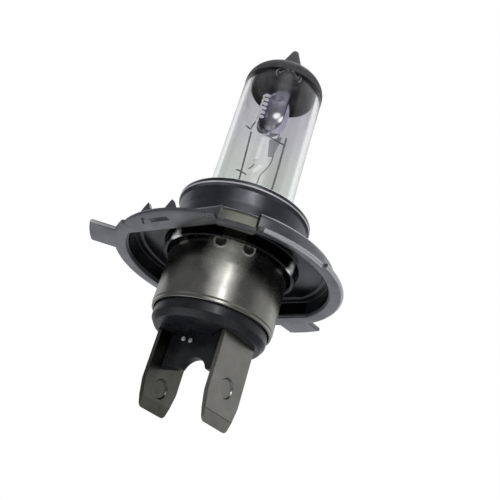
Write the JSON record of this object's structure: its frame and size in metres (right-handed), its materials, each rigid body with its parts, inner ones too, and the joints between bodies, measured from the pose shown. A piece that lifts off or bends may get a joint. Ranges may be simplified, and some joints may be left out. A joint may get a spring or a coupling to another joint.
{
  "type": "headlight bulb",
  "caption": "Twin-filament automotive headlight bulb with clear tubular glass, dark dome cap, stamped three-lug flange, cylindrical metal cap and flat contact blades.",
  "frame": {"origin": "where the bulb's axis crosses the reference plane, the plane of the glass-side faces of the flange's rim and three lugs", "axes": "-Y along the bulb's axis to the glass tip, +Y to the contact blades, +Z through the wide reference lug, X across the two blades"},
  "size_m": [0.0422, 0.0813, 0.0451],
  "materials": {
    "zinc": "satin, zinc plated",
    "nickel": "satin, nickel plated",
    "blade": "satin, tin plated grey",
    "plastic": "black, slightly glossy",
    "glass": "clear",
    "coating": "matte dark grey",
    "molybdenum": "polished grey",
    "tungsten": "grey wire"
  },
  "bodies": {
    "root": {"anti_glare_cap": "coating", "cap_shell": "nickel", "collar_ring": "zinc", "common_foil": "molybdenum", "common_lead": "nickel", "common_post": "molybdenum", "contact_blade_dipped": "blade", "contact_blade_main": "blade", "dip_shield": "molybdenum", "dipped_beam_cross_wire": "molybdenum", "dipped_beam_filament": "tungsten", "dipped_beam_foil": "molybdenum", "dipped_beam_lead": "nickel", "dipped_beam_post": "molybdenum", "dipped_post_stub": "molybdenum", "filament_sleeve": "molybdenum", "flange_ring": "zinc", "glass_envelope": "glass", "glass_holder": "nickel", "insulator": "plastic", "main_beam_cross_wire": "molybdenum", "main_beam_filament": "tungsten", "main_beam_foil": "molybdenum", "main_beam_lead": "nickel", "main_beam_post": "molybdenum", "main_filament_leg": "molybdenum", "pinch_clamp": "nickel", "pinch_seal": "glass", "shield_tail": "molybdenum", "staked_pin_1": "nickel", "staked_pin_2": "nickel"}
  },
  "joints": []
}
